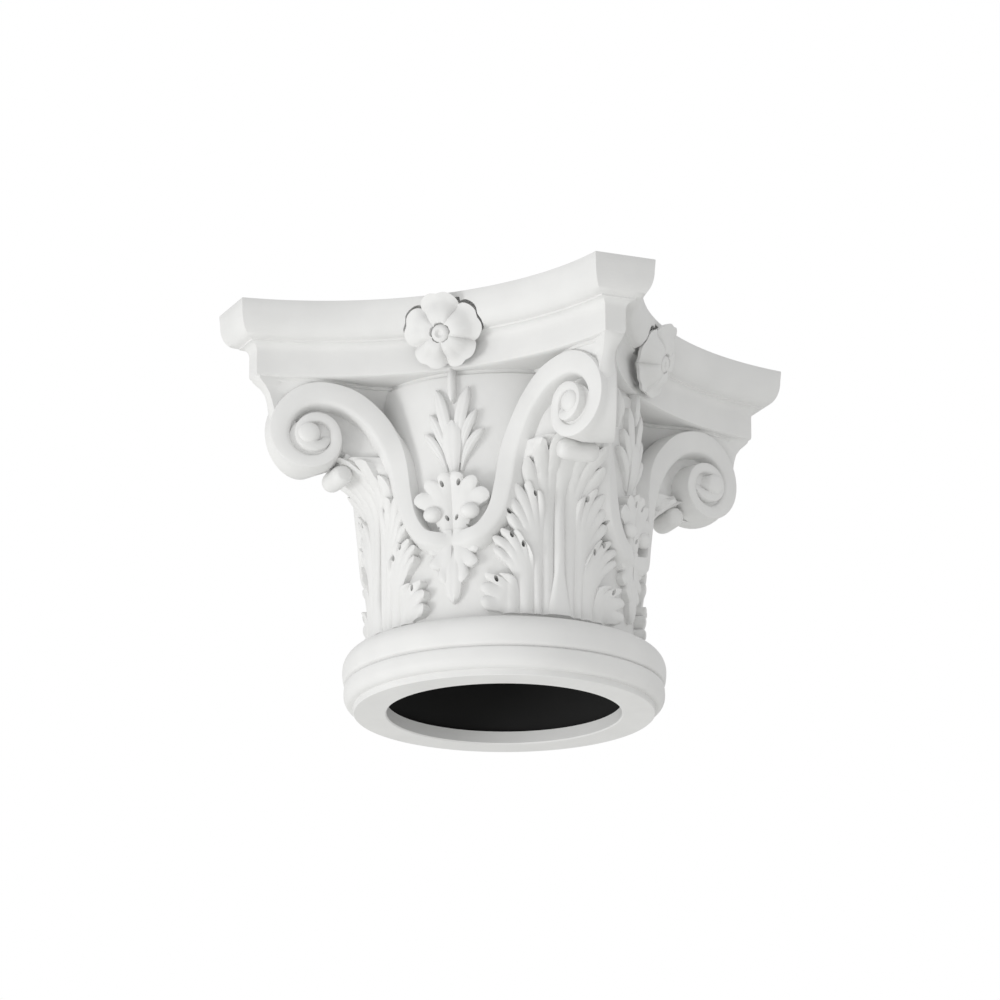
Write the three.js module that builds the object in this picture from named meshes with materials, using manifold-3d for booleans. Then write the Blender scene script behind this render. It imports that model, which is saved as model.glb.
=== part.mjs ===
// A moulded Corinthian capital, in millimetres, standing on z = 0 with its axis on Z.
// Front face towards -Y. Every face and every corner repeats each quarter turn.

import * as THREE from 'three';
import { mergeVertices } from 'three/addons/utils/BufferGeometryUtils.js';
import Module from 'manifold-3d';

const wasm = await Module();
wasm.setup();

const quarter = Math.PI / 2;
const deg = Math.PI / 180;

// Neck ring: a foot fillet, a swelling band and a torus.
const seatRadius = 150;
const footHeight = 6.5;
const bandRadius = 159.8;
const bandMid = 18;
const bandHeight = 28;
const notchRadius = 156.5;
const torusRadius = 161.2;
const torusMid = 42;
const torusSteps = 4;
const ringTop = 64;

// Bell: the round core that carries the leaves.
const bellFoot = 130;
const bellLip = 139;
const lipHeight = 312;
const bellHeights = [240, lipHeight];
const bellTuck = 8;
const turnSteps = 32;

// Hollow: a collar at the foot, a wider chamber above it.
const collarRadius = 117;
const collarHeight = 13;
const chamberRadius = 121;
const chamberTop = 330;
const chamberCove = 25;
const mouthDrop = 10;
const hollowSteps = 16;

// Abacus: concave faces, cut-off corners.
const topHeight = 387.7;
const soffit = 316.4;
const cornerReach = 295.9;
const cornerWidth = 63.9;
const faceArcCentre = 479.6;
const cornerShrink = 0.86;
const faceSteps = 6;
const abacusProfile = [
  [26.5, soffit], [24.6, 321], [24.6, 339], [16.4, 349.5],
  [11.5, 353.5], [4.5, 363.5], [0, 374], [0, topHeight],
];

// Volutes: two on each corner, on planes turned from the face towards the corner.
const voluteX = 133;
const voluteDepth = 168;
const voluteZ = 258;
const voluteTurn = 24 * deg;
const voluteSquash = 0.92;
// Spiral, each eighth of a turn from the top: reach of its middle line and half width.
const spiralLine = [
  [43.5, 11.5], [39.6, 9.9], [36.2, 8.2], [31.4, 7.1], [27.4, 6.2],
  [23.2, 5.8], [19.2, 5], [18, 4.8], [17, 5],
];
const filletDeep = 16;
const channelDeep = 12;
const eyeShift = 7;
const eyeRadius = 10;
const eyeProud = 7;
const eyeSides = 5;
const massStart = [[60, 204], [66, 236], [90, 280]];
const massReach = [46, 40, 35.5, 32, 29.5, 29.5];
const massSwing = 224 * deg;

// Web: the wall from the bell to the corner behind two volutes, as reach and half width.
const webPlan = [[118, 24], [238, 12]];
const webLevels = [[262, 0.5], [soffit + 2, 1.06]];

// Bracket: joins the volutes of a corner to the abacus, as reach along the diagonal and height.
const bracketLine = [[250.5, 271], [255.5, 293], [262.5, 307.5], [271, soffit + 2]];
const bracketHalf = 10;
const bracketDeep = 20;

// Bands: the stalks that rise from the knot into the volutes.
const bandFace = 145.5;
const bandLine = [[10, 144], [30, 149], [46, 170], [53, 206], [61, 240], [76, 269], [100, 291]];
const bandSteps = 5;
const bandNarrow = 6.5;

// Corner leaf.
const arcRadius = 140;
const leafFoot = 60;
const leafTop = 214;
const bladeFoot = 32;
const bladeTop = 12;
const leafFlare = 12;
const flareFrom = 180;
const flareSpan = 57;
const lobeSink = 8;
const lobeLift = 7;
const lobeRidge = 2.8;
const lobeNotch = 0.84;
const lobeTiers = [
  { root: [33, 57], fan: [14, 84], reach: 57, low: 0.75, fingers: 3 },
  { root: [31, 102], fan: [32, 100], reach: 53, low: 0.78, fingers: 3 },
  { root: [21, 146], fan: [22, 100], reach: 52, low: 0.78, fingers: 3 },
  { root: [12, 193], fan: [28, 92], reach: 46, low: 0.8, fingers: 2 },
];
const bladeFlutes = [[-1, 0], [-0.6, 5], [-0.3, 3], [0, 7], [0.3, 3], [0.6, 5], [1, 0]];
const tongueLine = [[130, 190], [146, 203], [164, 222], [181, 231]];
const tongueKeel = [3, -5];
const tongueBack = [-8, 6];
const rollReach = 181.5;
const rollHeight = 222;
const rollRadius = 11;
const rollHalf = 21;
const rollSides = 6;
const tongueHalf = 19;

// Flower on the middle of each abacus face.
const flowerDepth = 165;
const flowerZ = 347;
const flowerTilt = 16 * deg;
const petals = 5;
const petalLong = 42;
const petalNotch = 0.74;
const stalkDeep = 30;
const flowerLevels = [[0.5, -stalkDeep, 0], [1, 3, 1], [0.62, 8, 1], [0.25, 2, 0]];
const buttonProud = 10;

// Face ornaments: sprig on the bell, knot between the bands, palmette hanging from it.
const sprigPairs = [
  { root: [4, 238], fan: [62, 84], reach: 60, fingers: 1 },
  { root: [9, 226], fan: [42, 68], reach: 44, fingers: 1 },
];
const sprigStem = { root: [0, 328], fan: [-94, -86], reach: 44, fingers: 1 };
const sprigBud = { root: [0, 224], fan: [76, 104], reach: 44, fingers: 1, lift: 10 };
const knotFan = { root: [0, 158], fan: [26, 154], reach: 50, low: 0.8, fingers: 3, lift: 17 };
const palmetteFan = { root: [0, 152], fan: [-165, -15], reach: 74, low: 0.4, fingers: 3 };

function solidOf(geometry) {
  geometry.deleteAttribute('normal');
  geometry.deleteAttribute('uv');
  const merged = mergeVertices(geometry, 1e-3);
  const mesh = new wasm.Mesh({
    numProp: 3,
    vertProperties: new Float32Array(merged.attributes.position.array),
    triVerts: new Uint32Array(merged.index.array),
  });
  return new wasm.Manifold(mesh);
}

// A closed skin over rings of equal point count, drawn in to one point at either end.
function loft(rings, first, last) {
  const count = rings[0].length;
  const points = [...rings.flat(), first, last];
  const faces = [];
  for (let j = 0; j < count; j += 1) {
    const next = (j + 1) % count;
    const end = (rings.length - 1) * count;
    faces.push([next, j, points.length - 2], [end + j, end + next, points.length - 1]);
    for (let i = 0; i < end; i += count) {
      faces.push([i + j, i + next, i + count + next], [i + j, i + count + next, i + count + j]);
    }
  }
  const volume = faces.reduce((sum, [a, b, c]) => (
    sum + points[a].dot(points[b].clone().cross(points[c]))), 0);
  const order = volume > 0 ? faces : faces.map(([a, b, c]) => [a, c, b]);
  const geometry = new THREE.BufferGeometry().setFromPoints(points);
  geometry.setIndex(order.flat());
  return solidOf(geometry);
}

function middleOf(ring) {
  const sum = ring.reduce((total, point) => total.add(point), new THREE.Vector3());
  return sum.divideScalar(ring.length);
}

function bellRadius(z) {
  const rise = THREE.MathUtils.clamp((z - ringTop) / (lipHeight - ringTop), 0, 1);
  return bellFoot + (bellLip - bellFoot) * rise ** 3;
}

// A point over the bell: arc length from the ornament's centre line, height, stand-off.
function overBell(facing, arc, z, out) {
  const angle = facing + arc / arcRadius;
  const radius = bellRadius(z) + out;
  return new THREE.Vector3(radius * Math.cos(angle), radius * Math.sin(angle), z);
}

function core() {
  const bandLow = (bandRadius + seatRadius) / 2;
  const profile = [[0, 0], [seatRadius, 0], [seatRadius, footHeight], [bandLow, footHeight + 1]];
  profile.push([bandRadius, bandMid], [notchRadius, bandHeight]);
  for (let i = 1; i <= torusSteps; i += 1) {
    const swing = (i / torusSteps) * 120 * deg - 30 * deg;
    const inward = swing < 0 ? torusRadius - notchRadius : torusRadius - bellFoot;
    const upward = swing < 0 ? torusMid - bandHeight : ringTop - torusMid;
    profile.push([torusRadius - inward * (1 - Math.cos(swing)), torusMid + upward * Math.sin(swing)]);
  }
  for (const z of bellHeights) {
    profile.push([bellRadius(z), z]);
  }
  profile.push([bellLip - bellTuck, soffit + bellTuck], [0, soffit + bellTuck]);
  const points = profile.map(([radius, z]) => new THREE.Vector2(radius, z));
  const geometry = new THREE.LatheGeometry(points, turnSteps);
  return solidOf(geometry.rotateX(quarter));
}

function hollow() {
  const profile = [
    [0, -mouthDrop], [collarRadius, -mouthDrop], [collarRadius, collarHeight], [chamberRadius, collarHeight],
    [chamberRadius, chamberTop - chamberCove], [chamberRadius - chamberCove, chamberTop], [0, chamberTop],
  ];
  const points = profile.map(([radius, z]) => new THREE.Vector2(radius, z));
  return solidOf(new THREE.LatheGeometry(points, hollowSteps).rotateX(quarter));
}

// Plan of the abacus at one inset: concave face arcs joined by straight cut corners.
function abacusRing(inset, z) {
  const reach = cornerReach - inset;
  const half = cornerWidth / 2;
  const narrow = Math.max(half - inset * cornerShrink, 6);
  const edgeX = (reach - narrow) * Math.SQRT1_2;
  const edgeY = (reach + narrow) * Math.SQRT1_2;
  const radius = Math.hypot(edgeX, faceArcCentre - edgeY);
  const sweep = Math.asin(edgeX / radius);
  const ring = [];
  for (let k = 0; k < 4; k += 1) {
    for (let i = 0; i <= faceSteps; i += 1) {
      const swing = sweep * ((2 * i) / faceSteps - 1);
      const point = new THREE.Vector3(radius * Math.sin(swing), radius * Math.cos(swing) - faceArcCentre, z);
      ring.push(point.applyAxisAngle(new THREE.Vector3(0, 0, 1), k * quarter));
    }
  }
  return ring;
}

function abacus() {
  const rings = abacusProfile.map(([inset, z]) => abacusRing(inset, z));
  return loft(rings, new THREE.Vector3(0, 0, soffit), new THREE.Vector3(0, 0, topHeight));
}

// Front of the bands and volutes on the -Y face, and its outward direction there.
function faceFront(x, z, out) {
  const plane = voluteDepth + (Math.abs(x) - voluteX) * Math.tan(voluteTurn);
  const drum = Math.sqrt(Math.max(bandFace ** 2 - x ** 2, 0));
  const lean = plane > drum ? voluteTurn * Math.sign(x) : -Math.asin(x / bandFace);
  return new THREE.Vector3(x - out * Math.sin(lean), -Math.max(plane, drum) - out * Math.cos(lean), z);
}

// A spot on the volute's plane, by the angle above level and the reach from its centre.
function aroundVolute(swing, reach) {
  return [voluteX + voluteSquash * reach * Math.cos(swing), voluteZ + reach * Math.sin(swing)];
}

// Middle line of one band and its spiral, in face view, with the half width along it.
function scrollLine() {
  const [startReach, startHalf] = spiralLine[0];
  const knots = [...bandLine, aroundVolute(quarter, startReach)];
  const curve = new THREE.SplineCurve(knots.map(([x, z]) => new THREE.Vector2(x, z)));
  const line = [];
  for (let i = 0; i < bandSteps; i += 1) {
    const share = i / bandSteps;
    const point = curve.getPointAt(share);
    line.push([point.x, point.y, bandNarrow + (startHalf - bandNarrow) * share]);
  }
  spiralLine.forEach(([reach, half], i) => {
    line.push([...aroundVolute(quarter - (i * quarter) / 2, reach), half]);
  });
  return line;
}

function scroll(side) {
  const line = scrollLine();
  const rings = line.map(([x, z, half], i) => {
    const before = line[Math.max(i - 1, 0)];
    const after = line[Math.min(i + 1, line.length - 1)];
    const along = new THREE.Vector2(after[0] - before[0], after[1] - before[1]).normalize();
    const section = [[-1, -filletDeep], [-1, 0], [1, 0], [1, -filletDeep]];
    return section.map(([across, out]) => (
      faceFront(side * (x - along.y * half * across), z + along.x * half * across, out)));
  });
  return loft(rings, middleOf(rings[0]), middleOf(rings[rings.length - 1]));
}

function eye(side) {
  const x = voluteX + eyeShift;
  const z = voluteZ;
  const rings = [[1.1, -filletDeep], [1, eyeProud / 2]].map(([share, out]) => {
    const ring = [];
    for (let i = 0; i < eyeSides; i += 1) {
      const swing = (i * 4 * quarter) / eyeSides;
      const reach = eyeRadius * share;
      ring.push(faceFront(side * (x + reach * Math.cos(swing)), z + reach * Math.sin(swing), out));
    }
    return ring;
  });
  return loft(rings, middleOf(rings[0]), faceFront(side * x, z, eyeProud));
}

// Mass between the two volutes of the corner at the right of the front face.
function cornerMass() {
  const outline = [...massStart];
  massReach.forEach((reach, i) => {
    outline.push(aroundVolute(quarter - (massSwing * i) / (massReach.length - 1), reach));
  });
  const near = outline.map(([x, z]) => faceFront(x, z, -channelDeep));
  const far = near.map((point) => new THREE.Vector3(-point.y, -point.x, point.z));
  return loft([near, far], middleOf(near), middleOf(far));
}

function web(facing) {
  const rings = webLevels.map(([z, share]) => {
    const near = webPlan.map(([reach, half]) => new THREE.Vector3(reach, half * share, z));
    const far = webPlan.map(([reach, half]) => new THREE.Vector3(reach, -half * share, z)).reverse();
    return [...near, ...far].map((point) => point.applyAxisAngle(new THREE.Vector3(0, 0, 1), facing));
  });
  return loft(rings, middleOf(rings[0]), middleOf(rings[rings.length - 1]));
}

function bracket(facing) {
  const rings = bracketLine.map(([reach, z]) => {
    const plan = [[reach, 1], [reach - bracketDeep, 1], [reach - bracketDeep, -1], [reach, -1]];
    return plan.map(([far, side]) => (
      new THREE.Vector3(far, side * bracketHalf, z).applyAxisAngle(new THREE.Vector3(0, 0, 1), facing)));
  });
  return loft(rings, middleOf(rings[0]), middleOf(rings[rings.length - 1]));
}

// Fingers spreading from one root over the bell: each ridged, the scalloped edge standing proud.
function fanOf(facing, side, { root, fan, reach, fingers, low = 1, lift = lobeLift, flare = 0 }) {
  const lines = 2 * fingers;
  const spot = (line, share, out) => {
    const along = line / lines;
    const angle = (fan[0] + (fan[1] - fan[0]) * along) * deg;
    const full = reach * (low + (1 - low) * Math.sin(Math.PI * along));
    const long = full * share * (line % 2 ? 1 : lobeNotch);
    const z = root[1] + long * Math.sin(angle);
    const lean = flare * Math.max(0, (z - flareFrom) / flareSpan) ** 2;
    return overBell(facing, side * (root[0] + long * Math.cos(angle)), z, out + lean);
  };
  const edge = [spot(lines, 1, -lobeSink), spot(0, 1, -lobeSink)];
  for (let line = 0; line <= lines; line += 1) {
    edge.push(spot(line, 1, lift + (line % 2) * lobeRidge));
  }
  return loft([edge], overBell(facing, side * root[0], root[1], -1), spot(fingers, 0.8, -lobeSink));
}

// Fluted middle of the corner leaf, narrowing upwards.
function blade(facing) {
  const rings = [0, 0.5, 1].map((share) => {
    const z = leafFoot + (leafTop - leafFoot) * share;
    const half = bladeFoot + (bladeTop - bladeFoot) * share;
    const ring = bladeFlutes.map(([across, out]) => overBell(facing, half * across, z, out));
    return [...ring, overBell(facing, half * 0.8, z, -lobeSink), overBell(facing, -half * 0.8, z, -lobeSink)];
  });
  return loft(rings, middleOf(rings[0]), middleOf(rings[2]));
}

// Leaf tip: a tongue leaving the bell, and the roll it ends in.
function leafTip(facing) {
  const out = new THREE.Vector3(Math.cos(facing), Math.sin(facing), 0);
  const across = new THREE.Vector3(-out.y, out.x, 0);
  const place = (reach, wide, z) => (
    new THREE.Vector3(0, 0, z).addScaledVector(out, reach).addScaledVector(across, wide));
  const tongue = tongueLine.map(([reach, z], i) => {
    const wide = tongueHalf - i;
    const keel = place(reach + tongueKeel[0], 0, z + tongueKeel[1]);
    const back = place(reach + tongueBack[0], 0, z + tongueBack[1]);
    return [place(reach, -wide, z), keel, place(reach, wide, z), back];
  });
  const roll = [[-1, 0.7], [0, 1], [1, 0.7]].map(([share, full]) => {
    const ring = [];
    for (let i = 0; i < rollSides; i += 1) {
      const swing = ((i + 0.5) * 4 * quarter) / rollSides;
      const radius = rollRadius * full;
      const reach = rollReach + radius * Math.cos(swing);
      ring.push(place(reach, rollHalf * share, rollHeight + radius * Math.sin(swing)));
    }
    return ring;
  });
  return [
    loft(tongue, middleOf(tongue[0]), middleOf(tongue[3])),
    loft(roll, middleOf(roll[0]), middleOf(roll[2])),
  ];
}

function flower() {
  const lean = new THREE.Vector3(0, -Math.cos(flowerTilt), -Math.sin(flowerTilt));
  const up = new THREE.Vector3(0, -Math.sin(flowerTilt), Math.cos(flowerTilt));
  const place = (x, y, out) => (
    new THREE.Vector3(x, -flowerDepth, flowerZ).addScaledVector(up, y).addScaledVector(lean, out));
  const rings = flowerLevels.map(([share, out, scallop]) => {
    const ring = [];
    for (let i = 0; i < 3 * petals; i += 1) {
      const swing = (90 + 360 * (i - 1.5) / (3 * petals)) * deg;
      const reach = petalLong * share * (scallop && i % 3 === 0 ? petalNotch : 1);
      ring.push(place(reach * Math.cos(swing), reach * Math.sin(swing), out));
    }
    return ring;
  });
  return loft(rings, place(0, 0, -stalkDeep), place(0, 0, buttonProud));
}

function faceOrnaments(facing) {
  const solids = [sprigStem, sprigBud, knotFan, palmetteFan].map((fan) => fanOf(facing, 1, fan));
  for (const side of [-1, 1]) {
    solids.push(...sprigPairs.map((pair) => fanOf(facing, side, pair)));
  }
  return solids;
}

function cornerLeaf(facing) {
  const solids = [blade(facing), ...leafTip(facing)];
  for (const side of [-1, 1]) {
    solids.push(...lobeTiers.map((tier) => fanOf(facing, side, { ...tier, flare: leafFlare })));
  }
  return solids;
}

function capital() {
  const quarterSolids = [
    ...faceOrnaments(-quarter), ...cornerLeaf(-quarter / 2), flower(), cornerMass(),
    web(-quarter / 2), bracket(-quarter / 2), scroll(-1), scroll(1), eye(-1), eye(1),
  ];
  let solid = core().add(abacus());
  const piece = quarterSolids.reduce((sum, next) => sum.add(next));
  for (let k = 0; k < 4; k += 1) {
    solid = solid.add(piece.rotate([0, 0, 90 * k]));
  }
  return solid.subtract(hollow());
}

function meshOf(name, solid, colour) {
  const { vertProperties, triVerts } = solid.getMesh();
  const geometry = new THREE.BufferGeometry();
  geometry.setAttribute('position', new THREE.BufferAttribute(vertProperties, 3));
  geometry.setIndex(new THREE.BufferAttribute(triVerts, 1));
  const mesh = new THREE.Mesh(geometry, new THREE.MeshStandardMaterial({ color: colour, roughness: 0.7 }));
  mesh.name = name;
  return mesh;
}

const group = new THREE.Group();
group.name = 'corinthian_capital';
group.add(meshOf('capital', capital(), 0xe9e7e2));

export default group;
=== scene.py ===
import math

import bmesh
import bpy
import numpy as np
from mathutils import Matrix, Vector


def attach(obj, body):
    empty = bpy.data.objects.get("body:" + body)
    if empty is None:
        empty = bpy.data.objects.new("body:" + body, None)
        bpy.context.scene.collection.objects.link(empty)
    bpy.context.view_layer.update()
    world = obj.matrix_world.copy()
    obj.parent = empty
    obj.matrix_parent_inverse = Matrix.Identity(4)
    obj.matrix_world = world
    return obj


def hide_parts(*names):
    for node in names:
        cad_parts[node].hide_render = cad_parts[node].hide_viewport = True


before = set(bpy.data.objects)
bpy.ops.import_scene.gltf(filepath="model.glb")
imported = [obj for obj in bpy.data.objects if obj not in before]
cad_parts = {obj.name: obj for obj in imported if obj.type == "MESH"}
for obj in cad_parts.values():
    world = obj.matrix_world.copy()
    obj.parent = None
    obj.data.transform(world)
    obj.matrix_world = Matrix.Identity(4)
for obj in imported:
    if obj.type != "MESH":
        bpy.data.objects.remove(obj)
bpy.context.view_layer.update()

mm = 0.001
quarterTurn = math.pi / 2
faceAngle = -math.pi / 2  # front face looks along -Y
cornerAngle = -math.pi / 4  # corner at the right of the front face
sharpAngle = math.radians(38)  # edges keener than this stay crisp
print("frame loaded")


# Mesh helpers. Shapes are worked out in millimetres.
def ease(low, high, value):
    share = np.clip((value - low) / (high - low), 0, 1)
    return share * share * (3 - 2 * share)


def fullCircle(steps):
    return np.linspace(0, 2 * math.pi, steps, endpoint=False)


def throughPoints(points, steps):  # smooth line through the given points
    knots = np.array(points, float)
    padded = np.vstack([2 * knots[0] - knots[1], knots, 2 * knots[-1] - knots[-2]])
    line = []
    for i in range(len(knots) - 1):
        a, b, c, d = padded[i:i + 4]
        for t in np.linspace(0, 1, steps, endpoint=False):
            line.append(0.5 * (2 * b + (c - a) * t + (2 * a - 5 * b + 4 * c - d) * t ** 2
                               + (3 * b - a - 3 * c + d) * t ** 3))
    return np.vstack([line, knots[-1]])


def readOff(value, table):  # straight lines between the rows of a two-column table
    return np.interp(value, *np.array(table, float).T)


def outward(facing, reach, wide, z):  # reach from the axis, mm to one side and height to a point
    reach, wide, z = np.broadcast_arrays(reach, wide, z)
    c, s = math.cos(facing), math.sin(facing)
    return np.stack([reach * c - wide * s, reach * s + wide * c, z], -1)


def newPiece(name, points, faces):
    mesh = bpy.data.meshes.new(name)
    mesh.from_pydata((np.reshape(points, (-1, 3)) * mm).tolist(), [], faces)
    work = bmesh.new()
    work.from_mesh(mesh)
    bmesh.ops.recalc_face_normals(work, faces=work.faces)
    work.to_mesh(mesh)
    work.free()
    piece = bpy.data.objects.new(name, mesh)
    bpy.context.scene.collection.objects.link(piece)
    return piece


def skin(name, rows, first=None, last=None):  # closed tube over rings, drawn to a point at each end
    rows = np.asarray(rows, float)
    count, size = rows.shape[:2]
    faces = []
    for j in range(size):
        k = (j + 1) % size
        end = (count - 1) * size
        faces.append((count * size, k, j))
        faces.append((count * size + 1, end + j, end + k))
        for i in range(0, end, size):
            faces.append((i + j, i + k, i + size + k, i + size + j))
    ends = [rows[0].mean(0) if first is None else first, rows[-1].mean(0) if last is None else last]
    return newPiece(name, np.vstack([rows.reshape(-1, 3), ends]), faces)


def shell(name, top, back):  # two matching grids closed along their edges
    count, size = top.shape[:2]
    total = count * size
    faces = []
    for i in range(count - 1):
        for j in range(size - 1):
            a = i * size + j
            faces.append((a, a + 1, a + size + 1, a + size))
            faces.append((total + a + size, total + a + size + 1, total + a + 1, total + a))
    edge = list(range(size))
    edge += [i * size + size - 1 for i in range(1, count)]
    edge += [(count - 1) * size + j for j in range(size - 2, -1, -1)]
    edge += [i * size for i in range(count - 2, 0, -1)]
    for a, b in zip(edge, edge[1:] + edge[:1]):
        faces.append((b, a, total + a, total + b))
    return newPiece(name, np.vstack([top.reshape(-1, 3), back.reshape(-1, 3)]), faces)


def lathe(name, profile, steps):
    profile = np.asarray(profile, float)
    turn = fullCircle(steps)
    rows = [np.stack([r * np.cos(turn), r * np.sin(turn), z + 0 * turn], -1) for r, z in profile]
    return skin(name, rows, (0, 0, profile[0][1]), (0, 0, profile[-1][1]))


def fuse(base, tools, how):
    group = bpy.data.collections.new("tools")
    for tool in tools:
        group.objects.link(tool)
    step = base.modifiers.new("fuse", "BOOLEAN")
    step.operation = how
    step.operand_type = "COLLECTION"
    step.collection = group
    step.solver = "MANIFOLD"
    bpy.context.view_layer.update()
    seen = base.evaluated_get(bpy.context.evaluated_depsgraph_get())
    mesh = bpy.data.meshes.new_from_object(seen)
    base.modifiers.clear()
    base.data = mesh
    for tool in tools:
        bpy.data.objects.remove(tool)
    bpy.data.collections.remove(group)
    return base


# Bell and neck ring: pairs are radius and height
bell = {
    "foot": 130.0, "leafFoot": 64.0, "lip": 138.0, "lipZ": 309.0, "arcRadius": 140.0,
    "steps": 144, "rows": 15, "bandSteps": (9, 6), "torusSteps": (8, 14),
    "seat": 150.0, "softEdge": 0.8, "footZ": 6.5,
    "bandLow": (152.4, 6.9), "band": (159.8, 18.0), "bandTop": (158.4, 26.8), "notch": (156.2, 28.0),
    "torusLow": (158.8, 29.3), "torus": (161.2, 42.0), "torusTop": (145.0, 60.5),
    "groove": [(138.0, 54.0), (133.0, 51.0), (130.0, 54.0)],
    "lipRound": [(0.6, 311.5), (3.5, 313.0), (3.5, 330.0)],  # inset from the lip and height
}


def bellRadius(z):
    rise = np.clip((z - bell["leafFoot"]) / (bell["lipZ"] - bell["leafFoot"]), 0, 1)
    return bell["foot"] + (bell["lip"] - bell["foot"]) * rise ** 3


def overBell(facing, arc, z, out):  # mm along the bell, height and stand-off to a point
    arc, z, out = np.broadcast_arrays(arc, z, out)
    angle = facing + arc / bell["arcRadius"]
    radius = bellRadius(z) + out
    return np.stack([radius * np.cos(angle), radius * np.sin(angle), z], -1)


def quarterRound(low, high, steps):  # upright at the high end's height, level at the low end's
    swing = np.linspace(0, quarterTurn, steps)
    radius = low[0] + (high[0] - low[0]) * np.sin(swing)
    return list(zip(radius, high[1] + (low[1] - high[1]) * np.cos(swing)))


def makeBell():
    seat, edge = bell["seat"], bell["softEdge"]
    profile = [(seat - edge, 0), (seat, edge), (seat, bell["footZ"])]
    profile += quarterRound(bell["bandLow"], bell["band"], bell["bandSteps"][0])
    profile += quarterRound(bell["bandTop"], bell["band"], bell["bandSteps"][1])[-2::-1]
    profile.append(bell["notch"])
    profile += quarterRound(bell["torusLow"], bell["torus"], bell["torusSteps"][0])
    profile += quarterRound(bell["torusTop"], bell["torus"], bell["torusSteps"][1])[-2::-1]
    profile += bell["groove"]
    for z in np.linspace(bell["leafFoot"], bell["lipZ"], bell["rows"]):
        profile.append((float(bellRadius(z)), z))
    profile += [(bell["lip"] - inset, z) for inset, z in bell["lipRound"]]
    return lathe("capitalMoulding", profile, bell["steps"])


# the last two margins set how far the painted shade inside the hollow reaches
hollow = {
    "collar": 117.0, "collarZ": 13.0, "chamber": 121.0, "top": 330.0, "cove": 25.0, "softEdge": 1.2,
    "mouth": -5.0, "ledge": 0.5, "steps": 96, "coveSteps": 6, "shadeSpare": 0.5, "shadeLap": 0.2,
}


def makeHollow():
    collar, edge, cove = hollow["collar"], hollow["softEdge"], hollow["cove"]
    profile = [(collar + edge, hollow["mouth"]), (collar + edge, 0), (collar, edge)]
    profile += [(collar, hollow["collarZ"]), (hollow["chamber"], hollow["collarZ"] + hollow["ledge"])]
    for a in np.radians(np.linspace(0, 90, hollow["coveSteps"])):
        radius = hollow["chamber"] - cove * (1 - math.cos(a))
        profile.append((radius, hollow["top"] - cove * (1 - math.sin(a))))
    return lathe("hollow", profile, hollow["steps"])


# Abacus: pairs are inset from the top edge and height
abacus = {
    "top": 387.7, "soffit": 316.4, "reach": 295.9, "chamfer": 63.9, "arcCentre": 479.6, "shrink": 0.86,
    "leastHalf": 5.0, "faceSteps": 36, "cornerSteps": 4, "coveSteps": 7, "roundSteps": 12,
    "fillet": (0.8, 376.0), "quirk": (16.4, 349.5), "fascia": (24.6, 340.0),
    "quirkLip": (0.3, 1.5), "roundStart": (2.6, 2.2),  # out from the quirk and above it
    "soffitEdge": [(9.0, 316.4), (2.0, 316.4), (0.6, 317.2), (0, 319.5), (0, 330)],  # behind the fascia
    "topEdge": [(0, 1), (0.4, 0.3), (1.2, 0)],  # inset and drop from the top
}


def abacusRing(inset, z):
    reach = abacus["reach"] - inset
    half = max(abacus["chamfer"] / 2 - inset * abacus["shrink"], abacus["leastHalf"])
    x = (reach - half) * math.sqrt(0.5)
    y = (reach + half) * math.sqrt(0.5)
    radius = math.hypot(x, abacus["arcCentre"] - y)
    sweep = math.asin(x / radius)
    swing = np.linspace(-sweep, sweep, abacus["faceSteps"])
    face = np.stack([radius * np.sin(swing), radius * np.cos(swing) - abacus["arcCentre"], z + 0 * swing], -1)
    share = np.linspace(0, 1, abacus["cornerSteps"] + 1)[1:-1, None]
    cut = face[-1] + share * (np.array([y, -x, z]) - face[-1])
    quarter = np.vstack([face, cut])
    ring = []
    for k in range(4):
        c, s = round(math.cos(k * quarterTurn)), round(math.sin(k * quarterTurn))
        ring.append(quarter @ np.array([[c, s, 0], [-s, c, 0], [0, 0, 1]]))
    return np.vstack(ring)


def makeAbacus():
    quirkIn, quirkZ = abacus["quirk"]
    fasciaIn, fasciaZ = abacus["fascia"]
    filletIn, filletZ = abacus["fillet"]
    startIn, startZ = quirkIn - abacus["roundStart"][0], quirkZ + abacus["roundStart"][1]
    profile = [(fasciaIn + behind, z) for behind, z in abacus["soffitEdge"]]
    profile.append((fasciaIn, fasciaZ))
    for a in np.radians(np.linspace(15, 90, abacus["coveSteps"])):  # cove up to the quirk
        inset = fasciaIn - (fasciaIn - quirkIn) * (1 - math.cos(a))
        profile.append((inset, fasciaZ + (quirkZ - fasciaZ) * math.sin(a)))
    profile.append((quirkIn - abacus["quirkLip"][0], quirkZ + abacus["quirkLip"][1]))
    profile.append((startIn, startZ))
    for a in np.radians(np.linspace(6, 90, abacus["roundSteps"])):  # quarter-round under the top fillet
        inset = startIn - (startIn - filletIn) * math.sin(a)
        profile.append((inset, filletZ - (filletZ - startZ) * math.cos(a)))
    profile += [(inset, abacus["top"] - drop) for inset, drop in abacus["topEdge"]]
    rows = [abacusRing(inset, z) for inset, z in profile]
    return skin("abacus", rows, (0, 0, abacus["soffit"]), (0, 0, abacus["top"]))


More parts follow.
